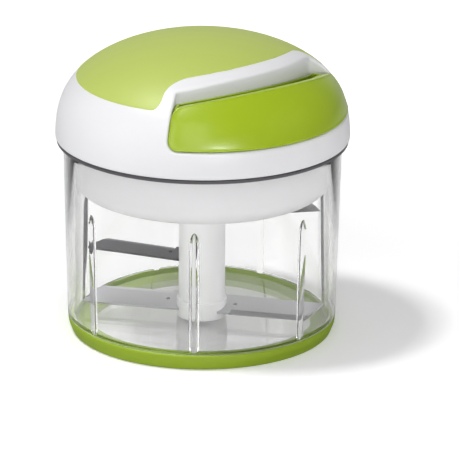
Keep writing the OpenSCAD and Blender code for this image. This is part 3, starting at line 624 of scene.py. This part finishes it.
def build_cover():
    """Pale lime cover: the lid curve inside its outline, a little proud, with a fine rounded edge.

    Rows run out from the middle to the edge, round it, and come back along an underside COVER_T deep."""
    columns = 420
    centre = np.array([0.0, 14.0])
    top_loop = rays(cover_field, centre, -COVER_ROUND, full_turn(columns))
    edge_loop = rays(cover_field, centre, -COVER_HAIRLINE, full_turn(columns))
    t = np.linspace(0, 1, 34)[:, None, None]
    flat = centre + (top_loop - centre) * t
    top = on_dome(flat, COVER_PROUD)
    brink = on_dome(edge_loop, COVER_PROUD)
    side = on_dome(edge_loop, COVER_PROUD - COVER_ROUND)
    foot = on_dome(edge_loop, -COVER_T)
    below = on_dome(flat[::-4], -COVER_T)
    loops = np.concatenate([top, bend(top[-1], brink, side)[1:], foot[None], below])
    mesh_piece("top_cover_skin", loops, lime_soft, "lid", "lime_soft", "top_cover", sharp=50)


def back_radius(height):
    """Radius of the handle's back face: it leans inward from LIP_START_Z up to LIP_END_Z."""
    lean = np.clip((height - LIP_START_Z) / (LIP_END_Z - LIP_START_Z), 0, 1)
    return HANDLE_BACK_R + (HANDLE_LIP_R - HANDLE_BACK_R) * lean


def build_handle():
    """Glossy lime handle: the lid curve inside its outline, with a fine bead along its edge.

    The bead's rows are the outline moved inward by BEAD_IN and raised by BEAD_LIFT. The sides run to a back
    face on the arc behind the fingers. Along the top, where top is 1, the front is a thin panel with a gutter
    behind it."""
    centre = np.array([0.0, -77.0])
    outline = rays(handle_field, centre, 0.0, even_rays(handle_field, centre, 600))
    along = np.roll(outline, -1, 0) - np.roll(outline, 1, 0)
    along /= np.linalg.norm(along, axis=1, keepdims=True)
    rim = outline + np.stack([-along[:, 1], along[:, 0]], -1) * np.array(BEAD_IN)[:, None, None]
    bead = on_dome(rim, np.array(BEAD_LIFT)[:, None])
    t = np.linspace(0, 1, 26)[:-1, None, None]
    face = on_dome(centre + (rim[0] - centre) * t)
    edge = on_dome(outline)
    top = smooth_step(PANEL_FROM, PANEL_TO, handle_top(edge))[:, None]
    back = edge.copy()
    back[:, 2:] += (np.minimum(edge[:, 2:], GUTTER_Z) - edge[:, 2:]) * top
    back = on_arc(back, back_radius(back[:, 2]), HANDLE_ARC_BACK)
    inward = edge * [-1.0, -1.0, 0.0]
    inward /= np.linalg.norm(inward, axis=1, keepdims=True)
    turn_in = bend(bead[-1], edge, edge + inward * HANDLE_EDGE)
    behind = edge + inward * PANEL_T
    drop = behind.copy()
    drop[:, 2] = np.minimum(behind[:, 2], GUTTER_Z)
    reach = lid_radius(drop[:, 2]) - PANEL_T * PANEL_SLANT
    drop[:, :2] *= (reach / np.hypot(behind[:, 0], behind[:, 1]))[:, None]
    gutter = np.concatenate([turn_in[-1:], between(behind, drop, 6), between(drop, back, 6)[1:]])
    plain = between(turn_in[-1], back, len(gutter))
    side = plain + (gutter - plain) * top
    middle = np.array([0.0, HANDLE_ARC_BACK - HANDLE_BACK_R, HANDLE_BACK_Z])
    inner = back + (middle - back) * np.linspace(0.02, 1, 16)[:, None, None]
    inner = on_arc(inner, back_radius(inner[..., 2]), HANDLE_ARC_BACK)
    loops = np.concatenate([face, bead, turn_in[1:], side[1:], inner])
    mesh_piece("handle_skin", loops, lime_gloss, "handle", "lime_gloss", "handle_grip", sharp=50)


def build_strap():
    """Finger strap of the handle: a thin band with chamfered edges, swept along a path in plan.

    The path follows the recess in front of its back wall and runs out along both ends to the front panel. The
    band's top edge lies just above the slope of the handle's top, and dips below it at the ends."""
    end = HALF_ANGLE - STRAP_END_GAP
    angle = np.linspace(-end, end, 181)
    way = np.stack([np.sin(angle), -np.cos(angle), np.zeros(len(angle))], -1)
    band = on_arc(way, np.full(len(angle), STRAP_R), ARC_BACK)
    ends = way[[0, -1]] * lid_radius(STRAP_END_Z) * STRAP_END_SHARE
    t = np.linspace(0, 1, 9)[:, None]
    first = ends[0] + (band[0] - ends[0]) * t[:-1]
    last = band[-1] + (ends[1] - band[-1]) * t[1:]
    path = np.concatenate([first, band, last])
    along = np.gradient(path[:, :2], axis=0)
    along /= np.linalg.norm(along, axis=1, keepdims=True)
    out = np.stack([along[:, 1], -along[:, 0]], -1)
    side = np.array([-1, -1, -0.7, 0.7, 1, 1]) * STRAP_T / 2
    chamfer = np.array([0, 1, 0, 0, 1, 0]) * STRAP_CHAMFER
    loops = np.zeros((len(path), len(side), 3))
    loops[..., :2] = path[:, None, :2] + out[:, None] * side[None, :, None]
    from_axis = np.hypot(path[:, 0], path[:, 1])
    lift = np.interp(from_axis, [STRAP_DIP_FROM_R, STRAP_DIP_TO_R], [STRAP_RISE, STRAP_DIP])
    loops[..., 2] = (lift - handle_top(path))[:, None] - chamfer
    loops[:, [0, -1], 2] = STRAP_LOW_Z
    mesh_piece("handle_strap", capped(loops), lime_gloss, "handle", "lime_gloss", sharp=30)


def build_bowl():
    """Clear bowl: a turned wall and floor, whose inner wall swells by a half round at each rib.

    At a share x of the rib's half width the wall comes in by RIB_D tip sqrt(1 - x x), where tip is the square
    root of the way down from the rib's top, so that the rib narrows to its tip."""
    outside = rounded([
        (0, FLOOR_UNDER_Z, 0), (FOOT_R, FLOOR_UNDER_Z, 0.5), (FOOT_R, WALL_START_Z, 0.3),
        (BOWL_FOOT_R, WALL_START_Z, 0.6), (BOWL_RIM_R, BOWL_RIM_Z, 0.6)])
    floor_z = FLOOR_UNDER_Z + FLOOR_T
    inner_low_r = BOWL_FOOT_R - BOWL_WALL
    inner_top_r = BOWL_RIM_R - BOWL_WALL
    rib_tip_z = RIB_TOP_Z - RIB_TIP
    heights = np.concatenate([
        np.linspace(BOWL_RIM_Z - 1, RIB_TOP_Z + 1, 8), RIB_TOP_Z - RIB_TIP * np.linspace(0, 1, 16) ** 2,
        np.linspace(rib_tip_z, floor_z + 4, 30)[1:]])
    slope = (inner_top_r - inner_low_r) / (BOWL_RIM_Z - WALL_START_Z)
    inner = np.stack([inner_low_r + slope * (heights - WALL_START_Z), heights], -1)
    corner_r = inner_low_r + slope * (floor_z - WALL_START_Z)
    fillet_steps = 9
    foot = rounded([
        (corner_r, floor_z, BOWL_FILLET), (0, floor_z, 0), (corner_r, BOWL_RIM_Z, 0)], fillet_steps)
    foot = foot[:fillet_steps]
    lip = np.array([[inner_top_r + 0.6, BOWL_RIM_Z], [inner_top_r + 0.15, BOWL_RIM_Z - 0.25]])
    profile = np.concatenate([outside, lip, inner, foot, [[0, floor_z]]])
    sector = 360 / RIB_COUNT
    on_rib, off_rib = np.linspace(-RIB_DEG, RIB_DEG, 27), np.linspace(GAP_FROM_DEG, GAP_TO_DEG, 28)
    starts = RIB_TURN + sector * np.arange(RIB_COUNT)
    degrees = (starts[:, None] + np.concatenate([on_rib, off_rib])[None]).ravel()
    angle = np.radians(degrees)
    from_rib = (degrees - RIB_TURN + sector / 2) % sector - sector / 2
    radius, height = profile[:, :1], profile[:, 1:]
    tip = np.sqrt(np.clip((RIB_TOP_Z - height) / RIB_TIP, 0, 1))
    tip = tip * smooth_step(RIB_FADE_FROM_Z, RIB_FADE_TO_Z, height)
    across = np.radians(from_rib)[None] * radius / (RIB_HALF_W * np.maximum(tip, 0.05))
    swell = RIB_D * tip * np.sqrt(np.clip(1 - across ** 2, 0, 1))
    is_inner = np.arange(len(profile))[:, None] >= len(outside) + len(lip)
    is_wall = is_inner & (radius > inner_low_r - 2.2)
    real = np.where(is_wall, radius - swell, radius)
    loops = np.stack([real * np.cos(angle), real * np.sin(angle), np.broadcast_to(height, real.shape)], -1)
    mesh_piece("bowl_skin", loops, clear, "bowl", "clear_plastic", "bowl", sharp=35)


def build_base_ring():
    """Soft ring: a turned foot that leans out to its widest line and rounds over to meet the bowl.

    It is bonded to the bowl, so its inner faces lie a little inside the clear wall and show through it."""
    wide_r, top_z = ring_high[0], WALL_START_Z + RING_BOND
    inner_r, seat_z = FOOT_R - RING_BOND, FLOOR_UNDER_Z + RING_BOND
    profile = rounded([
        (RING_HOLE_R, 0, 0.4), (RING_SOLE_R, 0, 0.8), (wide_r, RING_WIDE_Z, 1.2), (wide_r, ring_high[2], 0.8),
        (inner_r, top_z, 0.1), (inner_r, seat_z, 0.1), (RING_HOLE_R, seat_z, 0.4)])
    mesh_piece("base_ring_skin", closed(turned(profile)), lime_tpe, "bowl", "lime_rubber", "base_ring")


def build_plug():
    """Lid base: a turned dish with a large rounded lower edge, a flange under the lid and a column well."""
    under_z, flange_r, flange_top = plug_low[2], plug_high[0], plug_high[2]
    inner_r, floor_z = PLUG_R - PLUG_WALL, under_z + PLUG_WALL
    boss_r, boss_z = WELL_R + PLUG_WALL, WELL_TOP_Z + PLUG_WALL
    profile = rounded([
        (WELL_R, under_z, 0.8), (PLUG_R, under_z, PLUG_ROUND), (PLUG_R, LID_RIM_Z, 0.1),
        (flange_r, LID_RIM_Z, 0.3), (flange_r, flange_top, 0.3), (inner_r, flange_top, 0.3),
        (inner_r, floor_z, 7.0), (boss_r, floor_z, 0.5), (boss_r, boss_z, 0.4), (SHAFT_HOLE_R, boss_z, 0.2),
        (SHAFT_HOLE_R, WELL_TOP_Z, 0.2), (WELL_R, WELL_TOP_Z, 0.3)], 12)
    mesh_piece("lid_base_skin", closed(turned(profile)), white_pp, "lid", "white_plastic", "lid_base")


def build_seal():
    """Grey seal: a turned band with a shadow step under the lid rim."""
    low, high, out = seal_low[2], seal_high[2], seal_high[0]
    step_r = out - SEAL_STEP
    profile = rounded([
        (SEAL_HOLE_R, low, 0.1), (out, low, 0.5), (out, high - 0.55, 0.25), (step_r, high - 0.4, 0.1),
        (step_r, high, 0.1), (SEAL_HOLE_R, high, 0.1)])
    mesh_piece("seal_ring_skin", closed(turned(profile)), grey_silicone, "lid", "grey_rubber", "seal_ring")


def build_column():
    """Blade column: a turned post with a foot collar and a hexagon socket in its top.

    The socket's radius at an angle is half its flats over the cosine of the angle from the nearest flat."""
    columns = 240
    low, high = column_low[2], column_high[2]
    outside = rounded([
        (0, low, 0), (COLLAR_R, low, 0.6), (COLLAR_R, COLLAR_TOP_Z, 0.7), (POST_R, COLLAR_TOP_Z, 0.4),
        (POST_R, high, 0.6), (0, high, 0)])[:-ARC_STEPS]
    outer = turned(outside, columns)
    angle = full_turn(columns)
    sixth = np.pi / 3
    hexagon = SOCKET_FLATS / 2 / np.cos((angle + sixth / 2) % sixth - sixth / 2)
    ring = np.stack([hexagon * np.cos(angle), hexagon * np.sin(angle), np.full(columns, high)], -1)
    down = ring.copy()
    down[:, 2] = SOCKET_Z
    tip = np.zeros((1, columns, 3))
    tip[..., 2] = SOCKET_Z
    loops = np.concatenate([outer, ring[None], down[None], tip])
    # The post takes the white that is painted brighter, as painted light
    mesh_piece("blade_column_skin", loops, white_pom_painted_lit, "blades", "white_plastic", "blade_column")


def build_cord():
    """Pull cord: a round tube on a level path that leaves the reel, bends at the guide and meets the handle."""
    columns = 20
    half = (cord_high[2] - cord_low[2]) / 2
    level = (cord_high[2] + cord_low[2]) / 2
    reel_end = cord_high[:2] - half
    knee_at, handle_end = np.array([0, CORD_KNEE_Y]), np.array([0, cord_low[1]])
    t = np.linspace(0, 1, 12)[:, None]
    first = reel_end + (knee_at - reel_end) * CORD_KNEE_SHARE * t
    knee = bend(first[-1], knee_at, knee_at - [0, CORD_KNEE_RUN], 12)[:, 0]
    straight = knee[-1] + (handle_end - knee[-1]) * np.linspace(0, 1, 40)[:, None]
    path = np.concatenate([first, knee[1:], straight[1:]])
    way = np.gradient(path, axis=0)
    way /= np.linalg.norm(way, axis=1, keepdims=True)
    angle = full_turn(columns)
    loops = np.empty((len(path), columns, 3))
    loops[..., 0] = path[:, :1] - way[:, 1:] * np.cos(angle) * half
    loops[..., 1] = path[:, 1:] + way[:, :1] * np.cos(angle) * half
    loops[..., 2] = level + np.sin(angle) * half
    made = mesh_piece("pull_cord", capped(loops), cord_braid, None, "cord", "cord_lead")
    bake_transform(made)


build_dome()
build_cover()
build_handle()
build_strap()
build_bowl()
build_base_ring()
build_plug()
build_seal()
build_column()
build_cord()

# CAD pieces that keep their shape. Stainless sheet, brushed along each arm, with its own direction of streaks on
# each blade. Each blade's base tone is a painted reflection: darker and lighter copies of one steel stand for
# the dark or bright side of the room that the blade mirrors by the way it is turned.
node_materials = {
    name: brushed("brushed stainless " + name, painted_reflection_tone, 0.38, math.radians(turn_deg), fine_mm=0.15, long_mm=20.0)
    for name, painted_reflection_tone, turn_deg in (
        ("upper_blade", "#7A787B", -30), ("middle_blade", "#48464A", 116), ("lower_blade", "#C4C4C6", 124))}
for names, material in (
        ("pivot_pin deck_screws housing_screws recoil_spring ratchet_wheel", plain_steel),
        ("retaining_clip pawl_pins pawl_a pawl_b handle_screws", plain_steel),
        ("reel_deck reel_housing spring_tray drive_shaft cord_reel", inner_abs),
        ("cord_guide cord_anchor", grey_plastic),
        ("bearing_bush", brass),
        ("cord_winding", cord_braid),
        ("handle_back", lime_gloss)):
    node_materials.update({name: material for name in names.split()})
for name, material in node_materials.items():
    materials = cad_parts[name].data.materials
    materials.clear()
    materials.append(material)


# Stage, light and camera

VIEW_TURN = math.radians(-42.5)
VIEW_RISE = math.radians(18.26)
VIEW_FAR = 2500.0
VIEW_ROLL = math.radians(0.33)
VIEW_HEIGHT = 70.0
PIXELS_PER_MM = 2.1944
AXIS_PIXEL = (202.4, 180.7)
PICTURE = 460
SENSOR_MM = 36.0
ROOM_LIGHT = 0.17
ROOM_GLOSS = 0.35
DARK_SIDE_GLOSS = 0.05
BACKDROP_GLOSS = 0.6
TABLE_HALF = 6.0
TABLE_GLOW = 0.26
TABLE_FAR_GLOW = 0.7
PAINTED_SHADE_UNDER_SHARE = 0.25  # of the glow that is left under the object; the rest is taken away there as painted shade under the bowl
LAMP_AIM = Vector((0, 0, 0.07))

to_object = Matrix.Rotation(VIEW_TURN, 4, "Z")


def build_floor():
    """White matt table that keeps the object's shadow, with a glow that keeps the rest of it white.

    The glow is seen by the eye and through clear pieces, weaker in gloss, and doesn't light the object. It
    grows with the distance from the object and is cut down under it, which paints shade under the object. In
    gloss the table's colour is a painted mid grey, a painted shade on its reflection."""
    made, tree = new_material("white table")
    place = add(tree, "ShaderNodeTexCoord").outputs["Object"]
    grain = add(tree, "ShaderNodeTexNoise", {"Vector": place, "Scale": 1 / (40 * MM)})
    shade = add(tree, "ShaderNodeMix", {
        MIX_SHARE: grain.outputs["Fac"], MIX_A: linear("#F4F4F4"), MIX_B: linear("#F2F2F2")},
        data_type="RGBA")
    path = add(tree, "ShaderNodeLightPath")
    gloss = add(tree, "ShaderNodeMath", {
        0: path.outputs["Is Glossy Ray"], 1: path.outputs["Is Transmission Ray"]},
        operation="SUBTRACT", use_clamp=True)
    # Glossy rays see the table painted mid grey: a painted shade on its reflection
    mirrored = add(tree, "ShaderNodeMix", {
        MIX_SHARE: gloss.outputs["Value"], MIX_A: shade.outputs[MIX_COLOUR], MIX_B: linear("#A0A0A0")},
        data_type="RGBA")
    matt = add(tree, "ShaderNodeBsdfDiffuse", {"Color": mirrored.outputs[MIX_COLOUR]})
    direct = add(tree, "ShaderNodeMath", {
        0: path.outputs["Is Camera Ray"], 1: path.outputs["Is Transmission Ray"]}, operation="MAXIMUM")
    dim = add(tree, "ShaderNodeMath", {
        0: path.outputs["Is Glossy Ray"], 1: ROOM_GLOSS}, operation="MULTIPLY")
    seen = add(tree, "ShaderNodeMath", {
        0: direct.outputs["Value"], 1: dim.outputs["Value"]}, operation="MAXIMUM")
    far = add(tree, "ShaderNodeVectorMath", {0: place}, operation="LENGTH")
    rise = add(tree, "ShaderNodeMapRange", {
        "Value": far.outputs["Value"], "From Min": 0.15, "From Max": 0.6,
        "To Min": TABLE_GLOW, "To Max": TABLE_FAR_GLOW})
    # The glow is cut down under the object: painted shade under the bowl, seen through its clear floor
    outside = add(tree, "ShaderNodeMapRange", {
        "Value": far.outputs["Value"], "From Min": 0.05, "From Max": 0.058, "To Min": PAINTED_SHADE_UNDER_SHARE})
    spread = add(tree, "ShaderNodeMath", {
        0: rise.outputs["Result"], 1: outside.outputs["Result"]}, operation="MULTIPLY")
    level = add(tree, "ShaderNodeMath", {
        0: seen.outputs["Value"], 1: spread.outputs["Value"]}, operation="MULTIPLY")
    glow = add(tree, "ShaderNodeEmission", {"Strength": level.outputs["Value"]})
    both = add(tree, "ShaderNodeAddShader", {0: matt.outputs["BSDF"], 1: glow.outputs["Emission"]})
    close_material(tree, both.outputs["Shader"])
    data = bpy.data.meshes.new("table")
    corners = np.array([(-1, -1, 0), (1, -1, 0), (1, 1, 0), (-1, 1, 0)]) * TABLE_HALF
    data.from_pydata(corners.tolist(), [], [(0, 1, 2, 3)])
    data.materials.append(made)
    table = bpy.data.objects.new("table", data)
    bpy.context.scene.collection.objects.link(table)


def build_world():
    """Dim even studio light; the eye and clear pieces see white behind the object.

    Gloss sees a dimmer room: ROOM_GLOSS on the camera's left, darker to its right, and brighter straight
    behind the object."""
    world = bpy.data.worlds.new("studio")
    world.use_nodes = True
    tree = world.node_tree
    tree.nodes.clear()
    path = add(tree, "ShaderNodeLightPath")
    seen = add(tree, "ShaderNodeMath", {
        0: path.outputs["Is Camera Ray"], 1: path.outputs["Is Transmission Ray"]}, operation="MAXIMUM")
    way = add(tree, "ShaderNodeTexCoord").outputs["Generated"]
    side = add(tree, "ShaderNodeVectorMath", {
        0: way, 1: to_object @ Vector((1, 0, 0))}, operation="DOT_PRODUCT")
    sides = add(tree, "ShaderNodeMapRange", {
        "Value": side.outputs["Value"], "From Min": -0.2, "From Max": 0.6,
        "To Min": ROOM_GLOSS, "To Max": DARK_SIDE_GLOSS})
    depth = add(tree, "ShaderNodeVectorMath", {
        0: way, 1: to_object @ Vector((0, 1, 0))}, operation="DOT_PRODUCT")
    backdrop = add(tree, "ShaderNodeMapRange", {
        "Value": depth.outputs["Value"], "From Min": 0.75, "From Max": 0.95, "To Max": BACKDROP_GLOSS})
    room = add(tree, "ShaderNodeMath", {
        0: sides.outputs["Result"], 1: backdrop.outputs["Result"]}, operation="MAXIMUM")
    gloss = add(tree, "ShaderNodeMath", {
        0: path.outputs["Is Glossy Ray"], 1: room.outputs["Value"]}, operation="MULTIPLY")
    bright = add(tree, "ShaderNodeMath", {
        0: seen.outputs["Value"], 1: gloss.outputs["Value"]}, operation="MAXIMUM")
    level = add(tree, "ShaderNodeMath", {0: bright.outputs["Value"], 1: ROOM_LIGHT}, operation="MAXIMUM")
    shine = add(tree, "ShaderNodeBackground", {
        "Color": linear("#FFFFFF"), "Strength": level.outputs["Value"]})
    add(tree, "ShaderNodeOutputWorld", {"Surface": shine.outputs["Background"]})
    bpy.context.scene.world = world


def add_lamp(name, turn_deg, rise_deg, far, size, level, mirrored=True):
    """Soft box (width, height), far metres away, turned right of the camera, raised and aimed at the object.

    level is what it adds to a white surface that faces it, so its power is level x pi x pi x far x far.
    A fill that is not mirrored leaves no spot in gloss."""
    data = bpy.data.lights.new(name, "AREA")
    data.shape = "RECTANGLE"
    data.size, data.size_y = size
    data.energy = level * math.pi ** 2 * far ** 2
    lamp = bpy.data.objects.new(name, data)
    side, rise = math.radians(turn_deg), math.radians(rise_deg)
    way = Vector((math.sin(side) * math.cos(rise), -math.cos(side) * math.cos(rise), math.sin(rise)))
    at = to_object @ (way * far)
    aim = LAMP_AIM - at
    lamp.matrix_world = Matrix.Translation(at) @ aim.to_track_quat("-Z", "Y").to_matrix().to_4x4()
    lamp.visible_glossy = mirrored
    bpy.context.scene.collection.objects.link(lamp)


def build_camera():
    """Camera at the photograph's place: it looks from VIEW_FAR away, turned so the axis meets its pixel."""
    data = bpy.data.cameras.new("camera")
    data.sensor_width = SENSOR_MM
    data.lens = PIXELS_PER_MM * VIEW_FAR / PICTURE * SENSOR_MM
    data.clip_end = 20.0
    back = Vector((0, -math.cos(VIEW_RISE), math.sin(VIEW_RISE)))
    level, above = Vector((1, 0, 0)), Vector((0, math.sin(VIEW_RISE), math.cos(VIEW_RISE)))
    right = level * math.cos(VIEW_ROLL) + above * math.sin(VIEW_ROLL)
    up = above * math.cos(VIEW_ROLL) - level * math.sin(VIEW_ROLL)
    axis = Vector((0, 0, VIEW_HEIGHT))
    place = axis + back * VIEW_FAR
    across, down = ((PICTURE / 2 - pixel) / PIXELS_PER_MM for pixel in AXIS_PIXEL)
    aim = axis + right * across - up * down
    away = (place - aim).normalized()
    right = (right - away * right.dot(away)).normalized()
    up = away.cross(right)
    basis = Matrix((right, up, away)).transposed().to_4x4()
    camera = bpy.data.objects.new("camera", data)
    camera.matrix_world = to_object @ (Matrix.Translation(place * MM) @ basis)
    bpy.context.scene.collection.objects.link(camera)
    bpy.context.scene.camera = camera


build_floor()
build_world()
add_lamp("key", -80, 70, 2.2, (0.32, 0.32), 0.505)
add_lamp("tall front", -8, 36, 2.0, (0.7, 1.5), 0.125)
add_lamp("low front", 14, 13, 2.0, (0.8, 0.4), 0.165)
add_lamp("spot", 12, 14, 2.0, (0.3, 0.14), 0.085)
add_lamp("left fill", -70, 14, 2.0, (0.8, 0.8), 0.15, mirrored=False)
add_lamp("right fill", 80, 32, 1.8, (0.9, 0.9), 0.14, mirrored=False)
build_camera()

bpy.context.scene.view_settings.view_transform = "Standard"
